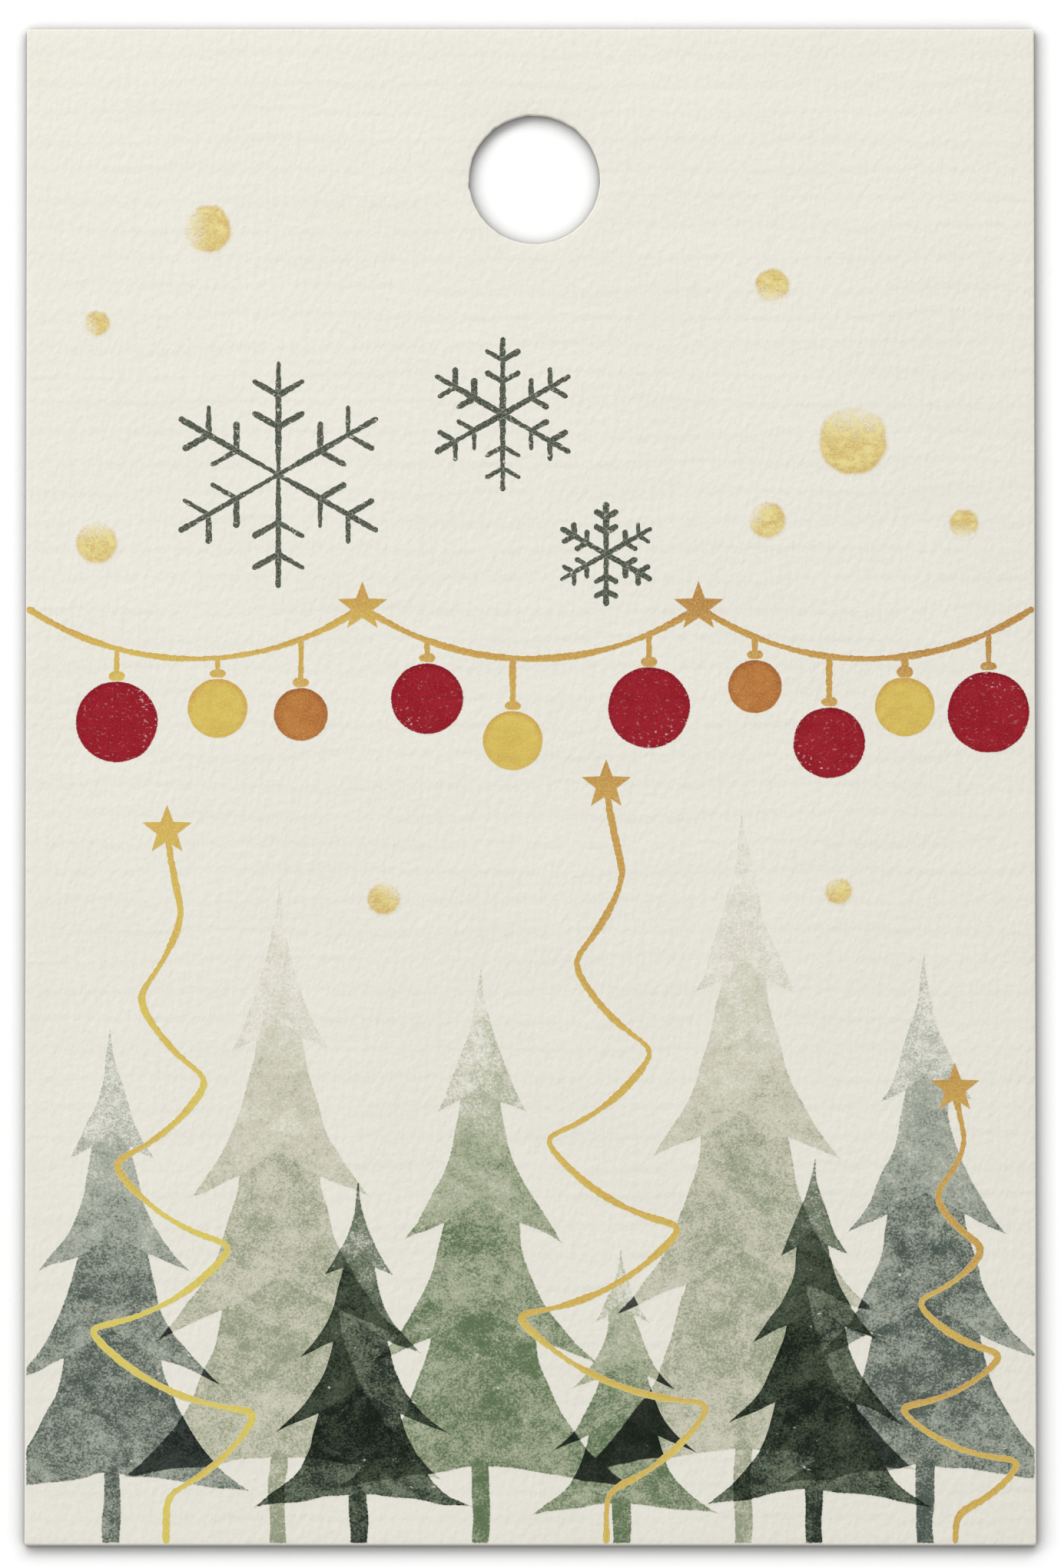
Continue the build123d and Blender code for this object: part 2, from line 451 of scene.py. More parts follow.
def round_corners(x, y):
    """Bends the grid's corner squares to quarter discs: the larger share becomes the radius."""
    share_x = np.clip((np.abs(x) - half_width) / corner_radius + 1, 0, 1)
    share_y = np.clip((np.abs(y) - half_height) / corner_radius + 1, 0, 1)
    corner = (share_x > 0) & (share_y > 0)
    length = np.where(corner, np.hypot(share_x, share_y), 1)
    squeeze = np.where(corner, np.maximum(share_x, share_y) / length, 1)
    inset = (1 - squeeze) * corner_radius
    return x - np.sign(x) * share_x * inset, y - np.sign(y) * share_y * inset


def card_plan():
    """Plan of the card: an even grid with a window, filled by rings from the hole's rim outwards.

    A ring lies between the rim and the window by a power of its number. Returns the places, the
    quads, the outer loop and the hole's loop.
    """
    lines_x = graded_lines(half_width)
    lines_y = graded_lines(half_height)
    x, y = round_corners(*np.meshgrid(lines_x, lines_y))
    index = np.arange(x.size).reshape(x.shape)
    reach = hole_radius + hole_window
    left, right = (np.abs(lines_x - hole_x - side * reach).argmin() for side in (-1, 1))
    low, high = (np.abs(lines_y - hole_y - side * reach).argmin() for side in (-1, 1))
    quads = grid_quads(index)
    kept = np.ones(quads.shape[:2], bool)
    kept[low:high, left:right] = False
    window = perimeter(index[low : high + 1, left : right + 1])
    window_x = x.ravel()[window]
    window_y = y.ravel()[window]
    angle = np.arctan2(window_y - hole_y, window_x - hole_x)
    rim_x = hole_x + hole_rim(angle) * np.cos(angle)
    rim_y = hole_y + hole_rim(angle) * np.sin(angle)
    share = (np.arange(hole_rings)[:, None] / hole_rings) ** hole_ring_power
    ring_x = rim_x + share * (window_x - rim_x)
    ring_y = rim_y + share * (window_y - rim_y)
    ring_index = x.size + np.arange(ring_x.size).reshape(ring_x.shape)
    rings = np.vstack([ring_index, window])
    ring_quads = [wall(inner, outer) for inner, outer in zip(rings[:-1], rings[1:])]
    quads = np.vstack([quads[kept], *ring_quads])
    used, quads = np.unique(quads, return_inverse=True)
    number = np.zeros(x.size + ring_x.size, int)
    number[used] = np.arange(len(used))
    places = np.column_stack([np.append(x, ring_x), np.append(y, ring_y)])[used]
    return places, quads.reshape(-1, 4), number[perimeter(index)], number[ring_index[0]]


def make_card():
    """The card as one closed shell: front and back over one plan, joined by the cut edges."""
    places, quads, outer, hole = card_plan()
    count = len(places)
    front = np.column_stack([places, front_height(*places.T)])
    back = np.column_stack([places, back_height(*places.T)])
    edges = np.append(outer, hole)
    middle = (front[edges] + back[edges]) / 2
    middle_outer = 2 * count + np.arange(len(outer))
    middle_hole = 2 * count + len(outer) + np.arange(len(hole))
    walls = [wall(outer, middle_outer), wall(middle_outer, outer + count)]
    walls += [wall(middle_hole, hole), wall(hole + count, middle_hole)]
    faces = np.vstack([quads, quads[:, ::-1] + count, *walls])
    vertices = np.vstack([front, back, middle])
    make_piece("tag_card", "card", "card", card_material(), vertices, faces, {})


def film_shell(x, y, lift):
    """Thin closed shell over a grid of places: top above the card, underside in it, upright rim."""
    index = np.arange(x.size).reshape(x.shape)
    quads = grid_quads(index).reshape(-1, 4)
    border = perimeter(index)
    corner_x, corner_y = x.ravel()[quads], y.ravel()[quads]
    area = corner_x * np.roll(corner_y, -1, 1) - corner_y * np.roll(corner_x, -1, 1)
    if area.sum() < 0:
        quads = quads[:, ::-1]
        border = border[::-1]
    level = front_height(x.ravel(), y.ravel())
    top = np.column_stack([x.ravel(), y.ravel(), level + lift])
    under = np.column_stack([x.ravel(), y.ravel(), level - film_sink])
    faces = np.vstack([quads, quads[:, ::-1] + x.size, wall(border, border + x.size)])
    return np.vstack([top, under]), faces


def make_film(node, ink, material, sheets):
    """One piece of ink for a CAD node, from one or more sheets of (x, y, traits, layer)."""
    vertices, faces = [], []
    traits = {key: [] for key in sheets[0][2]}
    start = 0
    for x, y, sheet_traits, layer in sheets:
        points, quads = film_shell(x, y, film_lift + layer * film_step)
        vertices.append(points)
        faces.append(quads + start)
        start += len(points)
        for key, values in sheet_traits.items():
            traits[key] += [values.ravel(), values.ravel()]
    joined = {key: np.concatenate(values) for key, values in traits.items()}
    shells = np.vstack(vertices), np.vstack(faces)
    make_piece("ink_" + node, node, "ink_" + ink, material, *shells, joined)


def wobbled(x, y):
    """Places moved a little by slow waves, as a hand that paints moves, and not at all at the rim."""
    reach = wobble_reach * np.clip((rim_distance(x, y) - bleed_margin) / wobble_ease, 0, 1)
    move_x, move_y = (reach * wave_sum(bank, x, y) for bank in wobble_banks)
    return x + move_x, y + move_y


def fir_side(reach, height):
    """One side of a fir from its top down, as rows of (out, up, axis, bough).

    A bough runs from a neck out to its tip along a shallow curve and back in a straight underside.
    The axis height falls from root to root, each a little above the place where the line of an
    underside meets the axis, and bough rises from 0 at a neck to 1 at a tip.
    """
    crown = height * crown_share
    neck = np.array([top_width / 2, height])
    root = height
    rows = []
    for tier in range(1, fir_tiers + 1):
        lowest = tier == fir_tiers
        tip_x = reach * (tier / fir_tiers) ** tier_reach_power
        tip_y = height - crown * (tier / fir_tiers) ** tier_depth_power
        neck_x = trunk_width / 2 if lowest else tip_x * neck_reach_share
        lift_share = skirt_lift_share if lowest else neck_lift_share
        tip = np.array([tip_x, tip_y])
        next_neck = np.array([neck_x, tip_y + lift_share * (tip_x - neck_x)])
        next_root = tip_y + lift_share * tip_x + root_rise
        turn = root + axis_turn_share * (next_root - root)
        share = np.arange(bough_points)[:, None] / bough_points
        run = tip - neck
        inward = np.array([run[1], -run[0]]) / np.hypot(*run)
        bow = 4 * share * (1 - share) * bough_sag_share * run[0]
        axis = root + share * (turn - root)
        rows.append(np.hstack([neck + share * run + bow * inward, axis, share]))
        share = np.arange(underside_points)[:, None] / underside_points
        axis = turn + share * (next_root - turn)
        rows.append(np.hstack([tip + share * (next_neck - tip), axis, np.ones_like(share)]))
        neck, root = next_neck, next_root
    foot = rim_lines[rim_lines > bleed_margin][::-1]
    trunk = np.linspace(neck[1], foot[0], trunk_points)[:-1]
    up = np.concatenate([trunk, foot, [bleed_margin]])[:, None]
    axis = up.copy()
    axis[0] = root
    rows.append(np.hstack([np.full_like(up, neck[0]), up, axis, np.zeros_like(up)]))
    return np.vstack(rows)


def fir_grid(place_share, reach_share, height_share):
    """Grid of a fir: columns fan from its axis to both outlines, and rows follow the outlines down.

    A fan that would leave the card is shortened to its edge. The whole grid then wobbles.
    """
    foot = half_width * place_share
    reach = half_width * reach_share
    height = 2 * half_height * height_share
    out, up, axis, bough = fir_side(reach, height).T
    fan = np.linspace(0, 1, fir_columns + 1)
    limit = half_width - bleed_margin
    halves = []
    for side, share in ((-1, left_reach_share), (1, 1.0)):
        kept = np.minimum(share * out, limit - side * foot) / out
        x = foot + side * np.outer(kept * out, fan)
        y = axis[:, None] - half_height + np.outer(kept / share * (up - axis), fan)
        halves.append((x, y))
    (left_x, left_y), (right_x, right_y) = halves
    x = np.hstack([left_x[:, :0:-1], right_x])
    y = np.hstack([left_y[:, :0:-1], right_y])
    x, y = wobbled(x, y)
    spread = np.broadcast_to(np.append(fan[:0:-1], fan), x.shape)
    bough = np.broadcast_to(bough[:, None], x.shape)
    return x, y, {"out": spread, "bough": bough, "up": (y + half_height) / height}


def outline_of(x, y):
    """Border of a grid of places as a closed outline."""
    loop = perimeter(np.arange(x.size).reshape(x.shape))
    return np.column_stack([x.ravel()[loop], y.ravel()[loop]])


def inside_distance(x, y, outline):
    """Distance of places from a closed outline, positive inside it.

    It is the least distance to any side. A place is inside where a line to its right crosses the
    outline an odd number of times.
    """
    step = np.roll(outline, -1, 0) - outline
    away_x = x.ravel()[:, None] - outline[:, 0]
    away_y = y.ravel()[:, None] - outline[:, 1]
    along = np.clip((away_x * step[:, 0] + away_y * step[:, 1]) / (step**2).sum(1), 0, 1)
    distance = np.hypot(away_x - along * step[:, 0], away_y - along * step[:, 1]).min(1)
    rising = (away_y >= 0) != (away_y - step[:, 1] >= 0)
    slope = np.where(step[:, 1] == 0, 1, step[:, 1])
    crossed = rising & (away_x < step[:, 0] * away_y / slope)
    return np.where(crossed.sum(1) % 2 == 1, distance, -distance).reshape(x.shape)


def boxes_meet(first, second):
    """Whether the boxes of two outlines overlap."""
    return bool((first.min(0) < second.max(0)).all() and (second.min(0) < first.max(0)).all())


def make_firs():
    """All washed firs. Each carries its distance to its own outline and to those that lie under it."""
    materials = {word: wash_material(*wash) for word, wash in washes.items()}
    under = []
    for node, (*shares, layer) in fir_shares.items():
        x, y, traits = fir_grid(*shares)
        outline = outline_of(x, y)
        traits["edge"] = np.maximum(inside_distance(x, y, outline), 0)
        met = [other for other in under if boxes_meet(outline, other)]
        overlap = [inside_distance(x, y, other) for other in met]
        traits["overlap"] = np.max([np.full(x.shape, no_overlap), *overlap], axis=0)
        under.append(outline)
        word = node.split("_")[1]
        make_film(node, washes[word][0], materials[word], [(x, y, traits, layer)])


def lengths_along(path):
    """Length from the start of a path to each of its points."""
    return np.append(0, np.hypot(*np.diff(path, axis=0).T).cumsum())


def even_steps(points):
    """Path of straight stretches through the points, with even steps."""
    length = lengths_along(points)
    steps = np.linspace(0, length[-1], max(round(length[-1] / line_step), least_steps))
    return np.column_stack([np.interp(steps, length, column) for column in points.T])


def smooth_path(points):
    """Path with even steps, whose corners a bell-shaped mean along it turns to small rounds.

    For the mean, the path goes on past its ends as its own reflection through them.
    """
    even = even_steps(points)
    reach = round(turn_reach * turn_radius / line_step)
    bell = np.exp(-0.5 * (np.arange(-reach, reach + 1) * line_step / turn_radius) ** 2)
    ahead = 2 * even[0] - even[reach:0:-1]
    behind = 2 * even[-1] - even[-2 : -reach - 2 : -1]
    padded = np.vstack([ahead, even, behind])
    return np.column_stack([np.convolve(column, bell / bell.sum(), "valid") for column in padded.T])


def sagging_line(start, end, sag):
    """Points from start to end that sag below the straight line by a parabola."""
    start, end = np.array(start), np.array(end)
    share = np.linspace(0, 1, stroke_points)[:, None]
    run = end - start
    normal = np.array([run[1], -run[0]]) / np.hypot(*run)
    down = normal if normal[1] < 0 else -normal
    return start + share * run + 4 * share * (1 - share) * sag * down


def ribbon(path, width, layer):
    """Flat ribbon along a path, with a width that swells slowly and round ends.

    Both edges are roughened by finer waves of their own. high runs from -1 at an edge that faces
    down the card to 1 at one that faces up.
    """
    half = width / 2
    length = lengths_along(path)
    end = np.minimum(length, length[-1] - length)
    round_end = np.sqrt(1 - (1 - np.clip(end / half, blunt_share, 1)) ** 2)
    swell = 1 + line_swell_share * wave_sum(wobble_banks[0], *path.T)
    fine = path.T * line_rough_scale
    first, second = (line_rough / half * wave_sum(bank, *fine) for bank in wobble_banks)
    tangent = np.gradient(path, axis=0)
    tangent /= np.hypot(*tangent.T)[:, None]
    across = np.linspace(-1, 1, line_columns)
    rough = np.where(across < 0, first[:, None], second[:, None])
    reach = half * round_end[:, None] * (swell[:, None] + rough)
    spread = reach * across
    x = path[:, :1] - tangent[:, 1:] * spread
    y = path[:, 1:] + tangent[:, :1] * spread
    traits = {"edge": reach - np.abs(spread), "high": np.outer(tangent[:, 0], across)}
    return x, y, traits, layer


def straight_ribbon(start, end, width, layer):
    """Ribbon along a straight line."""
    return ribbon(even_steps(np.array([start, end])), width, layer)


def gold_fir_path(place_share, reach_share, height_share):
    """One line that swings from side to side down a fir and ends in its trunk.

    Its turns lie further out by a power of the way down, and each stroke between two turns sags.
    """
    foot_x = half_width * place_share
    reach = half_width * reach_share
    height = 2 * half_height * height_share
    down = np.arange(1, gold_fir_strokes) / gold_fir_strokes
    side = np.where(np.arange(1, gold_fir_strokes) % 2, 1, -1)
    collar = height * (1 - gold_crown_share)
    out = np.concatenate([[0], side * reach * down**gold_reach_power, [0]])
    up = np.concatenate([[height], height - (height - collar) * down, [collar]])
    corners = np.column_stack([foot_x + out, up - half_height])
    strokes = []
    for start, end in zip(corners[:-1], corners[1:]):
        strokes.append(sagging_line(start, end, stroke_sag_share * abs(end[0] - start[0]))[:-1])
    foot = (foot_x, bleed_margin - half_height)
    strokes.append(sagging_line(corners[-1], foot, 0.0))
    return smooth_path(np.vstack(strokes))


def box_centre(node):
    """Middle and size of a CAD node's box in millimetres."""
    low, high = (np.array(corner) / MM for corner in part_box(node))
    return (low + high) / 2, high - low


def garland_sheets(posts, baubles):
    """Swags between the posts and the card's edges, and a thread and cap for each bauble.

    All swags are arcs of one radius over one span.
    """
    (first_x, post_y), (second_x, _) = posts
    span = second_x - first_x
    radius = ((span / 2) ** 2 + swag_sag**2) / (2 * swag_sag)
    limit = half_width - bleed_margin

    def swag_height(x):
        """Height of the swag at a place: an arc of a circle that is lowest in the middle of its span."""
        from_middle = (x - first_x) % span - span / 2
        return post_y - swag_sag + radius - np.sqrt(radius**2 - from_middle**2)

    sheets = []
    for layer, start in zip(swag_layers, (first_x - span, first_x, second_x)):
        x = np.linspace(max(start, -limit), min(start + span, limit), round(span / line_step))
        sheets.append(ribbon(np.column_stack([x, swag_height(x)]), gold_line, layer))
    for node in baubles:
        (x, y, _), size = box_centre(node)
        cap_y = y + (size[1] + cap_height) / 2
        sheets.append(straight_ribbon((x, cap_y), (x, swag_height(x)), gold_line, thread_layer))
        left, right = x - cap_width / 2, x + cap_width / 2
        sheets.append(straight_ribbon((left, cap_y), (right, cap_y), cap_height, cap_layer))
    return sheets


def flake_sheets(node):
    """Strokes of a snowflake: arms through the middle, with pairs of leaning twigs on both halves."""
    (x, y, _), size = box_centre(node)
    arm = size[1] / 2
    sheets = []
    for layer, angle in enumerate(np.radians(90 + np.arange(flake_arms) * 180 / flake_arms)):
        along = arm * np.array([np.cos(angle), np.sin(angle)])
        sheets.append(straight_ribbon((x, y) - along, (x, y) + along, green_line, layer))
        for place in twig_place_shares:
            root = (x, y) + place * along
            for side, layers in twig_layers.items():
                lean = angle + side * np.radians(twig_lean)
                twig = np.sign(place) * np.array([np.cos(lean), np.sin(lean)])
                tip = root + arm * twig_length_share * twig
                sheets.append(straight_ribbon(root, tip, green_line, layers[layer]))
    return sheets


def disc_sheet(centre, rim, facing, layer):
    """Square grid bent to a disc, its larger share the radius, stretched to a rim given by angle.

    across runs from -1 to 1 over the disc towards the facing angle.
    """
    share = np.linspace(-1, 1, disc_lines)
    u, v = np.meshgrid(share, share)
    length = np.hypot(u, v)
    squeeze = np.maximum(np.abs(u), np.abs(v)) / np.where(length == 0, 1, length)
    u, v = u * squeeze, v * squeeze
    radius = rim(np.arctan2(v, u))
    edge = (1 - np.hypot(u, v)) * radius
    across = u * np.cos(facing) + v * np.sin(facing)
    traits = {"edge": edge, "high": v, "across": across}
    return centre[0] + u * radius, centre[1] + v * radius, traits, layer


def ragged_disc(node, rag_share):
    """Disc of ink whose rim waves a little at random."""
    centre, size = box_centre(node)
    phases = random.random(len(disc_waves)) * 2 * np.pi
    weights = random.random(len(disc_waves)) / np.sqrt(disc_waves)

    def rim(angle):
        """Radius by angle: a circle with a sum of cosines, weighted at random and less where finer."""
        waves = (weights * np.cos(np.multiply.outer(angle, disc_waves) + phases)).sum(-1)
        return size[0] / 2 * (1 + rag_share * waves)

    return disc_sheet(centre, rim, random.uniform(0, 2 * np.pi), disc_layer)


def star_shape(node):
    """Centre and outer radius of a star, from its node's box: its top point touches the box."""
    middle, size = box_centre(node)
    outer = size[0] / 2 / np.sin(2 * np.pi / star_points)
    return (middle[0], middle[1] + size[1] / 2 - outer), outer


def star_sheet(node):
    """Star of ink: between a point and a waist the rim is the straight line that joins them."""
    centre, outer = star_shape(node)
    waist = outer * star_waist_share
    half_turn = np.pi / star_points

    def rim(angle):
        """Radius by angle: the way out to the straight line, by the law of sines."""
        turn = np.abs((angle - np.pi / 2 + half_turn) % (2 * half_turn) - half_turn)
        slope = outer * np.sin(turn) + waist * np.sin(half_turn - turn)
        return outer * waist * np.sin(half_turn) / slope

    return disc_sheet(centre, rim, np.pi / 2, star_layer)


def put(tree, kind, inputs=None, **settings):
    """Adds a node. Settings are its properties; of the inputs a socket is linked and a value set."""
    made = tree.nodes.new("ShaderNode" + kind)
    for key, value in settings.items():
        setattr(made, key, value)
    for key, value in (inputs or {}).items():
        if isinstance(value, bpy.types.NodeSocket):
            tree.links.new(value, made.inputs[key])
        else:
            made.inputs[key].default_value = value
    return made


def math(tree, operation, *values):
    """Result of one operation on values."""
    return put(tree, "Math", dict(enumerate(values)), operation=operation).outputs[0]


def weighted(tree, base, *terms):
    """Base plus each value times its weight."""
    for value, weight in terms:
        base = math(tree, "MULTIPLY_ADD", value, weight, base)
    return base


def ramp(tree, value, start, end, low=0.0, high=1.0):
    """Smooth rise from low to high while the value goes from start to end."""
    inputs = {"Value": value, "From Min": start, "From Max": end, "To Min": low, "To Max": high}
    return put(tree, "MapRange", inputs, interpolation_type="SMOOTHSTEP").outputs[0]


def fall(tree, value, start, end, high=1.0, low=0.0):
    """Smooth fall from high to low while the value goes from start to end."""
    return ramp(tree, value, start, end, high, low)


def swing(tree, value, spread, low=0.0, high=1.0):
    """Smooth rise from low to high while the value goes from minus to plus a spread."""
    return ramp(tree, value, -spread, spread, low, high)


def mix(tree, factor, first, second, blend="MIX"):
    """Blend of two colours by a factor."""
    inputs = {mix_factor: factor, mix_first: first, mix_second: second}
    return put(tree, "Mix", inputs, data_type="RGBA", blend_type=blend).outputs[mix_result]


def noise(tree, lumps, detail, roughness, shift, distortion=0.0):
    """Noise about zero on object coordinates, with lumps to the millimetre along each axis."""
    place = put(tree, "TexCoord").outputs["Object"]
    moves = {"Vector": place, "Scale": [number / MM for number in lumps], "Location": [shift] * 3}
    moved = put(tree, "Mapping", moves).outputs[0]
    inputs = {"Vector": moved, "Scale": 1.0, "Detail": detail}
    inputs |= {"Roughness": roughness, "Distortion": distortion}
    return math(tree, "SUBTRACT", put(tree, "TexNoise", inputs).outputs[0], noise_middle)


def object_place(tree):
    """Object coordinates, one output for each axis."""
    return put(tree, "SeparateXYZ", {"Vector": put(tree, "TexCoord").outputs["Object"]}).outputs


def trait(tree, name):
    """Value that the mesh carries under a name."""
    return put(tree, "Attribute", attribute_name=name).outputs["Fac"]


def new_group(name, colours, values, outputs):
    """Empty node group with named sockets. Returns its tree, what comes in and where results go."""
    tree = bpy.data.node_groups.new(name, "ShaderNodeTree")
    for socket in colours:
        tree.interface.new_socket(socket, in_out="INPUT", socket_type="NodeSocketColor")
    for socket in values:
        tree.interface.new_socket(socket, in_out="INPUT", socket_type="NodeSocketFloat")
    for socket in outputs:
        kind = "NodeSocketColor" if socket == "Color" else "NodeSocketFloat"
        tree.interface.new_socket(socket, in_out="OUTPUT", socket_type=kind)
    return tree, tree.nodes.new("NodeGroupInput").outputs, tree.nodes.new("NodeGroupOutput").inputs


def felt_paper_group():
    """Bare card: cream with faint clouds and fibres, and the roughness and height of its felt grain.

    The grain is crinkled noise on laid ridges, which are a sine of the height on the card with a
    phase that drifts, skewed so that their lower flanks are steep.
    """
    tree, _, result = new_group("felt_paper", (), (), ("Color", "Roughness", "Height"))
    clouds = noise(tree, lumps=(0.12, 0.16, 0.16), detail=3, roughness=0.5, shift=0)
    grain = noise(tree, lumps=(3.3, 2.3, 2.4), detail=2, roughness=0.5, shift=3, distortion=0.15)
    drift = noise(tree, lumps=(0.12, 0.3, 0.3), detail=2, roughness=0.5, shift=7)
    upright = noise(tree, lumps=(1.4, 0.35, 1.0), detail=2, roughness=0.5, shift=11)
    turns = (object_place(tree)["Y"], 2 * np.pi / laid_pitch / MM)
    phase = weighted(tree, 0.0, turns, (drift, laid_drift))
    laid = math(tree, "SINE", weighted(tree, phase, (math(tree, "SINE", phase), laid_skew)))
    cream = mix(tree, swing(tree, clouds, cloud_spread), *(srgb(*tone) for tone in cream_tones))
    fibres = mix(tree, swing(tree, grain, fibre_spread), *(srgb(*tone) for tone in fibre_tones))
    rough = swing(tree, grain, fibre_spread, pit_roughness, ridge_roughness)
    reliefs = (grain, grain_relief), (laid, laid_relief), (upright, upright_relief)
    tree.links.new(mix(tree, 1.0, cream, fibres, "MULTIPLY"), result["Color"])
    tree.links.new(rough, result["Roughness"])
    tree.links.new(weighted(tree, relief_middle, *reliefs), result["Height"])
    return tree


def wash_group():
    """Watercolour on paper: grainy pigment in clouds, paler to tips and tops, darker at crossings.

    Flecks of paper show through it, and its edge is ragged where no other wash lies under it.
    """
    colours = ("Paper", "Thin", "Full", "Cross")
    values = ("Out", "Bough", "Up", "Edge", "Overlap", "Body", "Fade")
    tree, given, result = new_group("wash", colours, values, ("Color",))
    clouds = noise(tree, lumps=(0.42, 0.5, 0.5), detail=4, roughness=0.6, shift=2, distortion=0.5)
    blots = noise(tree, lumps=(1.5, 1.7, 1.6), detail=3, roughness=0.6, shift=5, distortion=0.3)
    grains = noise(tree, lumps=(10.0, 11.0, 10.0), detail=2, roughness=0.7, shift=9)
    flecks = noise(tree, lumps=(2.0, 3.0, 2.0), detail=2, roughness=0.6, shift=13, distortion=0.4)
    outward = math(tree, "POWER", given["Out"], outward_power)
    top = math(tree, "MULTIPLY", ramp(tree, given["Up"], *fade_heights), given["Fade"])
    rim = fall(tree, weighted(tree, given["Edge"], (blots, rim_blots)), 0.0, rim_width)
    pigment = (clouds, cloud_tone), (blots, blot_tone), (grains, grain_tone)
    fading = (given["Bough"], bough_tone), (outward, outward_tone), (top, top_tone), (rim, rim_tone)
    tone = weighted(tree, given["Body"], *pigment, *fading)
    thin = mix(tree, ramp(tree, tone, *thin_tones), given["Paper"], given["Thin"])
    body = mix(tree, ramp(tree, tone, *full_tones), thin, given["Full"])
    crossing = ramp(tree, weighted(tree, given["Overlap"], (blots, crossing_blots)), *crossing_width)
    crossed = mix(tree, crossing, body, mix(tree, 1.0, body, given["Cross"], "MULTIPLY"))
    bare = ramp(tree, flecks, *fleck_range, high=most_bare)
    ragged = fall(tree, weighted(tree, given["Edge"], (grains, ragged_grains)), 0.0, ragged_width)
    alone = fall(tree, given["Overlap"], *alone_width)
    worn = math(tree, "MAXIMUM", bare, math(tree, "MULTIPLY", ragged, alone))
    tree.links.new(mix(tree, worn, crossed, given["Paper"]), result["Color"])
    return tree


def speckle_group():
    """Printed ink on paper grain: fine grains of a second tone, bare specks, and a broken edge."""
    colours = ("Paper", "Ink", "Glint")
    values = ("Grain", "Edge", "Soft", "Fray", "Bare")
    tree, given, result = new_group("speckle", colours, values, ("Color",))
    grains = noise(tree, lumps=(11.0, 11.0, 11.0), detail=2, roughness=0.6, shift=4)
    specks = noise(tree, lumps=(5.0, 6.5, 5.0), detail=2, roughness=0.65, shift=8)
    grain = math(tree, "MULTIPLY", swing(tree, grains, grain_spread), given["Grain"])
    toned = mix(tree, grain, given["Ink"], given["Glint"])
    bare = math(tree, "MULTIPLY", ramp(tree, specks, *speck_range), given["Bare"])
    specked = mix(tree, bare, toned, given["Paper"])
    frayed = weighted(tree, given["Edge"], (grains, given["Fray"]))
    ragged = fall(tree, frayed, 0.0, given["Soft"])
    tree.links.new(mix(tree, ragged, specked, given["Paper"]), result["Color"])
    return tree


felt_paper = felt_paper_group()
watercolour = wash_group()
speckle = speckle_group()


def new_material(name):
    """Uncoated card with its grain as bump. Returns it, its tree, paper tone and colour socket."""
    material = bpy.data.materials.new(name)
    material.use_nodes = True
    tree = material.node_tree
    tree.nodes.clear()
    paper = put(tree, "Group", node_tree=felt_paper).outputs
    relief = {"Height": paper["Height"], "Strength": 1.0, "Distance": grain_depth * MM}
    bump = put(tree, "Bump", relief)
    finish = {"Normal": bump.outputs[0], "Roughness": paper["Roughness"]}
    finish |= {"Specular IOR Level": paper_gloss}
    shader = put(tree, "BsdfPrincipled", finish)
    put(tree, "OutputMaterial", {"Surface": shader.outputs[0]})
    return material, tree, paper["Color"], shader.inputs["Base Color"]


def card_material():
    """Bare felt-marked card."""
    material, tree, paper, colour = new_material("felt_card")
    tree.links.new(paper, colour)
    return material


def wash_material(ink, thin, full, cross, body, fade):
    """Watercolour from its thin to its full tone, with the tone that crossings are multiplied by."""
    material, tree, paper, colour = new_material(ink + "_wash")
    inputs = {"Paper": paper, "Thin": srgb(*thin), "Full": srgb(*full), "Cross": srgb(*cross)}
    inputs |= {"Body": body, "Fade": fade}
    inputs |= {key.capitalize(): trait(tree, key) for key in ("out", "bough", "up", "edge", "overlap")}
    tree.links.new(put(tree, "Group", inputs, node_tree=watercolour).outputs[0], colour)
    return material


def line_material(ink, tones, glint, grain, bare):
    """Line ink that goes through its tones from the lower left to the upper right.

    The upper edge of a line is a little further on in the tones than the lower one, as from two
    printing plates that don't quite meet.
    """
    material, tree, paper, colour = new_material(ink + "_ink")
    place = object_place(tree)
    drift = noise(tree, lumps=(0.14, 0.14, 0.14), detail=2, roughness=0.5, shift=17)
    across = (place["X"], slant_across / half_width / MM)
    upwards = (place["Y"], slant_upwards / half_height / MM)
    edges = (trait(tree, "high"), slant_edge)
    slant = weighted(tree, slant_middle, across, upwards, (drift, slant_drift), edges)
    steps = np.linspace(0.0, 1.0, len(tones))
    shade = srgb(*tones[0])
    for start, end, tone in zip(steps[:-1], steps[1:], tones[1:]):
        shade = mix(tree, ramp(tree, slant, start, end), shade, srgb(*tone))
    inputs = {"Paper": paper, "Ink": shade, "Glint": srgb(*glint), "Grain": grain}
    inputs |= {"Edge": trait(tree, "edge"), "Soft": line_soft, "Fray": line_fray, "Bare": bare}
    tree.links.new(put(tree, "Group", inputs, node_tree=speckle).outputs[0], colour)
    return material


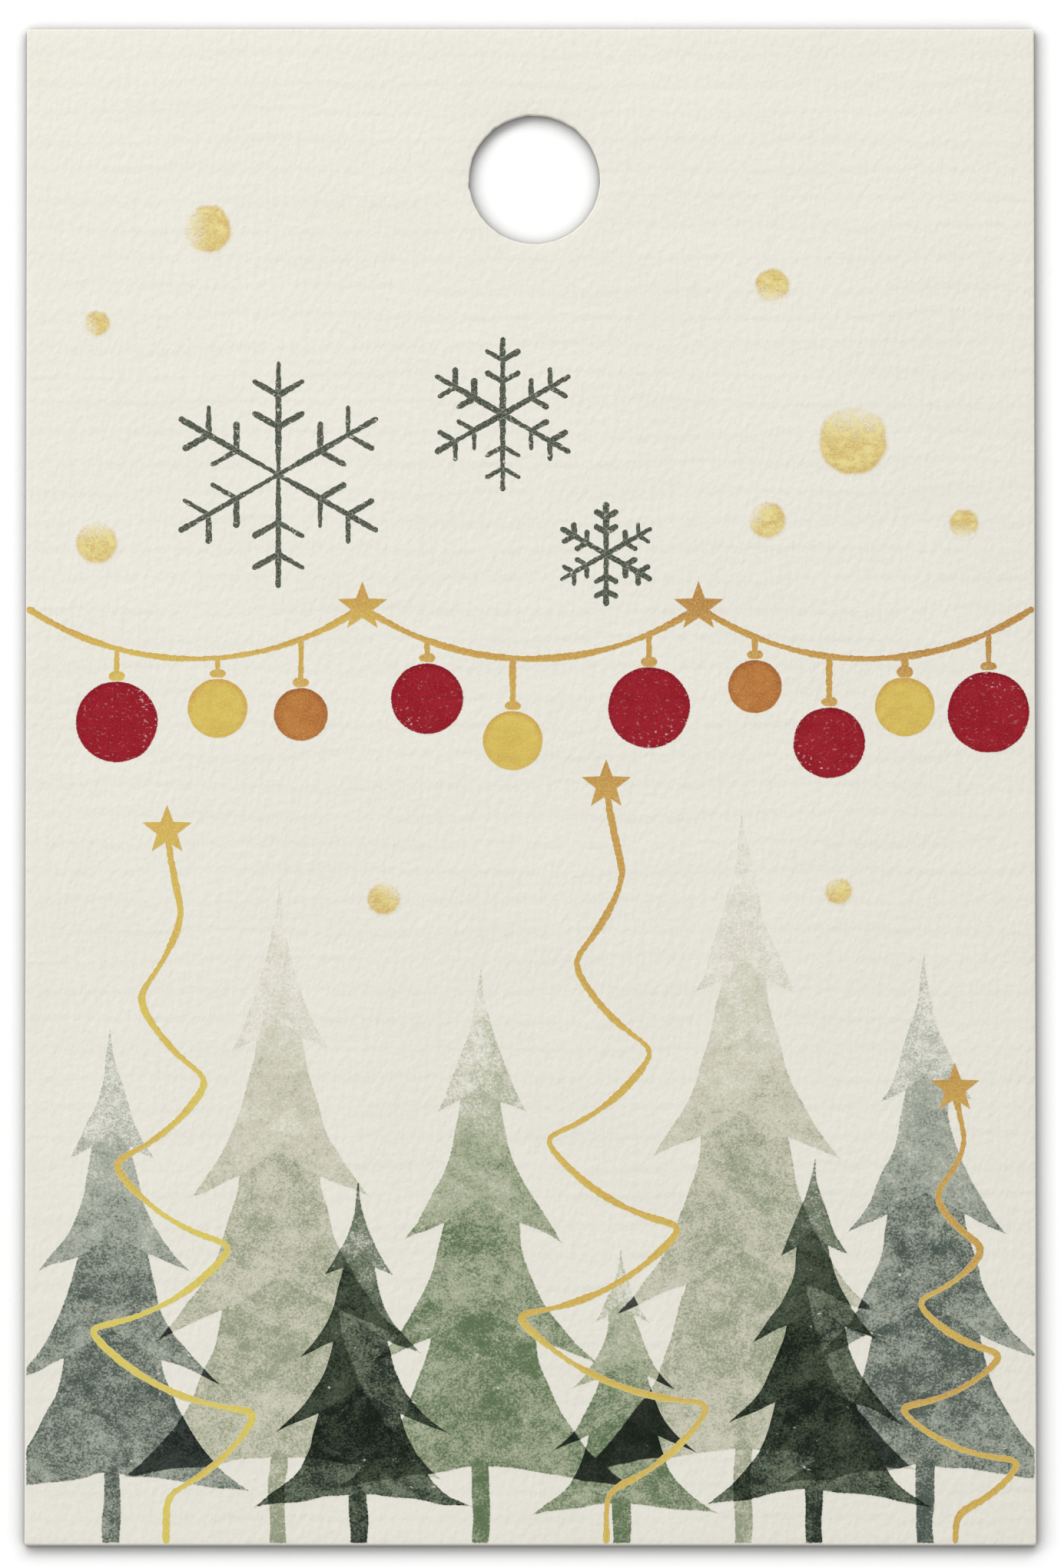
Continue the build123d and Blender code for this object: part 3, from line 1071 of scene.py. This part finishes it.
def disc_material(ink, light, body, rim, glint, grain, bare, finish):
    """Disc of ink: clouds of a light tone, a darker rim, and a worn side with bare specks."""
    material, tree, paper, colour = new_material(ink + "_ink")
    edge = trait(tree, "edge")
    clouds = noise(tree, finish["lumps"], detail=4, roughness=0.68, shift=21, distortion=0.5)
    grains = noise(tree, lumps=(9.0, 9.0, 9.0), detail=2, roughness=0.6, shift=25)
    clouded = mix(tree, swing(tree, clouds, disc_cloud_spread), srgb(*body), srgb(*light))
    ring = fall(tree, weighted(tree, edge, (clouds, disc_rim_clouds)), 0.0, disc_rim_width)
    higher = ramp(tree, trait(tree, "high"), *disc_rim_heights, low=finish["low_rim"])
    toned = mix(tree, math(tree, "MULTIPLY", ring, higher), clouded, srgb(*rim))
    across = trait(tree, "across")
    fading = weighted(tree, across, (clouds, thin_clouds), (grains, thin_grains))
    thinned = mix(tree, fall(tree, fading, *thin_reach, high=finish["thin"]), toned, paper)
    worn = math(tree, "MULTIPLY", fall(tree, across, *worn_reach, low=least_worn), bare)
    inputs = {"Paper": paper, "Ink": thinned, "Glint": srgb(*glint), "Grain": grain}
    inputs |= {"Edge": edge, "Soft": finish["soft"], "Fray": finish["fray"], "Bare": worn}
    tree.links.new(put(tree, "Group", inputs, node_tree=speckle).outputs[0], colour)
    return material


def make_print():
    """All ink of the print, from the washes up to the stars."""
    make_firs()
    lines = {ink: line_material(ink, *look) for ink, look in line_inks.items()}
    discs = {ink: disc_material(ink, *look) for ink, look in disc_inks.items()}
    nodes = sorted(frame["nodes"])
    baubles = [node for node in nodes if node.startswith("bauble")]
    for node in (node for node in nodes if node.startswith("snow_dot")):
        make_film(node, "pale_gold", discs["pale_gold"], [ragged_disc(node, dot_rag_share)])
    for node, shares in gold_fir_shares.items():
        sheet = ribbon(gold_fir_path(*shares), gold_line, gold_fir_layer)
        make_film(node, "gold", lines["gold"], [sheet])
    for node in (node for node in nodes if node.startswith("snowflake")):
        make_film(node, "dark_green", lines["dark_green"], flake_sheets(node))
    posts = [star_shape(node)[0] for node in ("post_star_1", "post_star_2")]
    make_film("garland", "gold", lines["gold"], garland_sheets(posts, baubles))
    for node in baubles:
        ink = bauble_inks[node.split("_")[1]]
        make_film(node, ink, discs[ink], [ragged_disc(node, bauble_rag_share)])
    for node in (node for node in nodes if "star" in node):
        make_film(node, "gold", lines["gold"], [star_sheet(node)])


def seen_directly(tree):
    """1 for what the camera sees, itself, in a reflection or through glass, and 0 for other light."""
    rays = put(tree, "LightPath").outputs
    seen = math(tree, "MAXIMUM", rays["Is Camera Ray"], rays["Is Glossy Ray"])
    return math(tree, "MAXIMUM", seen, rays["Is Transmission Ray"])


def make_floor():
    """White matte floor with a painted soft shade under the card, seen a little brighter than it is lit.
    """
    mesh = bpy.data.meshes.new("floor")
    corners = floor_reach * np.array([(-1, -1, 0), (1, -1, 0), (1, 1, 0), (-1, 1, 0)])
    mesh.from_pydata((corners - (0, 0, floor_gap)) * MM, [], [(0, 1, 2, 3)])
    floor = bpy.data.objects.new("floor", mesh)
    bpy.context.scene.collection.objects.link(floor)
    material = bpy.data.materials.new("white_floor")
    material.use_nodes = True
    tree = material.node_tree
    tree.nodes.clear()
    # Painted shade: ambient occlusion darkens the floor's colour and the glow the camera sees near the
    # card, as a shadow would
    reach = {"Distance": floor_painted_shade_reach * MM}
    openness = put(tree, "AmbientOcclusion", reach, samples=floor_painted_shade_samples)
    shade = math(tree, "POWER", openness.outputs["AO"], floor_painted_shade_power)
    lit = (floor_white, floor_white, floor_white, 1.0)
    matte = put(tree, "BsdfDiffuse", {"Color": mix(tree, shade, black, lit)})
    painted_shade_glow = math(tree, "MULTIPLY", shade, floor_glow)
    glow = put(tree, "Emission", {"Strength": math(tree, "MULTIPLY", seen_directly(tree), painted_shade_glow)})
    both = put(tree, "AddShader", {0: matte.outputs[0], 1: glow.outputs[0]})
    put(tree, "OutputMaterial", {"Surface": both.outputs[0]})
    mesh.materials.append(material)


def make_light():
    """Even sky that the camera sees as white, and one broad lamp from the top left."""
    world = bpy.data.worlds.new("studio")
    bpy.context.scene.world = world
    world.use_nodes = True
    tree = world.node_tree
    tree.nodes.clear()
    sky = put(tree, "Background", {"Color": white, "Strength": sky_level})
    backdrop = put(tree, "Background", {"Color": white, "Strength": 1.0})
    both = put(tree, "MixShader", {0: seen_directly(tree), 1: sky.outputs[0], 2: backdrop.outputs[0]})
    put(tree, "OutputWorld", {"Surface": both.outputs[0]})
    lamp = bpy.data.lights.new("key", "AREA")
    lamp.shape = "RECTANGLE"
    lamp.size = key_width * MM
    lamp.size_y = key_height * MM
    lamp.energy = key_power
    key = bpy.data.objects.new("key", lamp)
    rise = np.radians(key_elevation)
    turn = np.radians(key_azimuth)
    towards = Vector((-np.cos(rise) * np.sin(turn), np.cos(rise) * np.cos(turn), np.sin(rise)))
    key.location = towards * key_distance * MM
    key.rotation_euler = (-towards).to_track_quat("-Z", "Y").to_euler()
    bpy.context.scene.collection.objects.link(key)


def make_camera():
    """Long lens at the photograph's angle, at the distance where the card has its width in pixels."""
    pixel = 2 * half_width * MM / card_width_pixels
    rise = np.radians(camera_elevation)
    back = Vector((0, -np.cos(rise), np.sin(rise)))
    up = Vector((0, np.sin(rise), np.cos(rise)))
    right = pixel * (picture_width / 2 - card_centre_pixels[0])
    above = pixel * (card_centre_pixels[1] - picture_height / 2)
    aim = Vector((right, 0, thickness * MM)) + up * above
    data = bpy.data.cameras.new("camera")
    data.lens = camera_lens
    data.sensor_width = camera_sensor
    camera = bpy.data.objects.new("camera", data)
    camera.location = aim + back * (picture_height * pixel * camera_lens / camera_sensor)
    camera.rotation_euler = (-back).to_track_quat("-Z", "Y").to_euler()
    bpy.context.scene.collection.objects.link(camera)
    bpy.context.scene.camera = camera


bpy.context.scene.view_settings.view_transform = "Standard"
make_card()
make_print()
make_floor()
make_light()
make_camera()
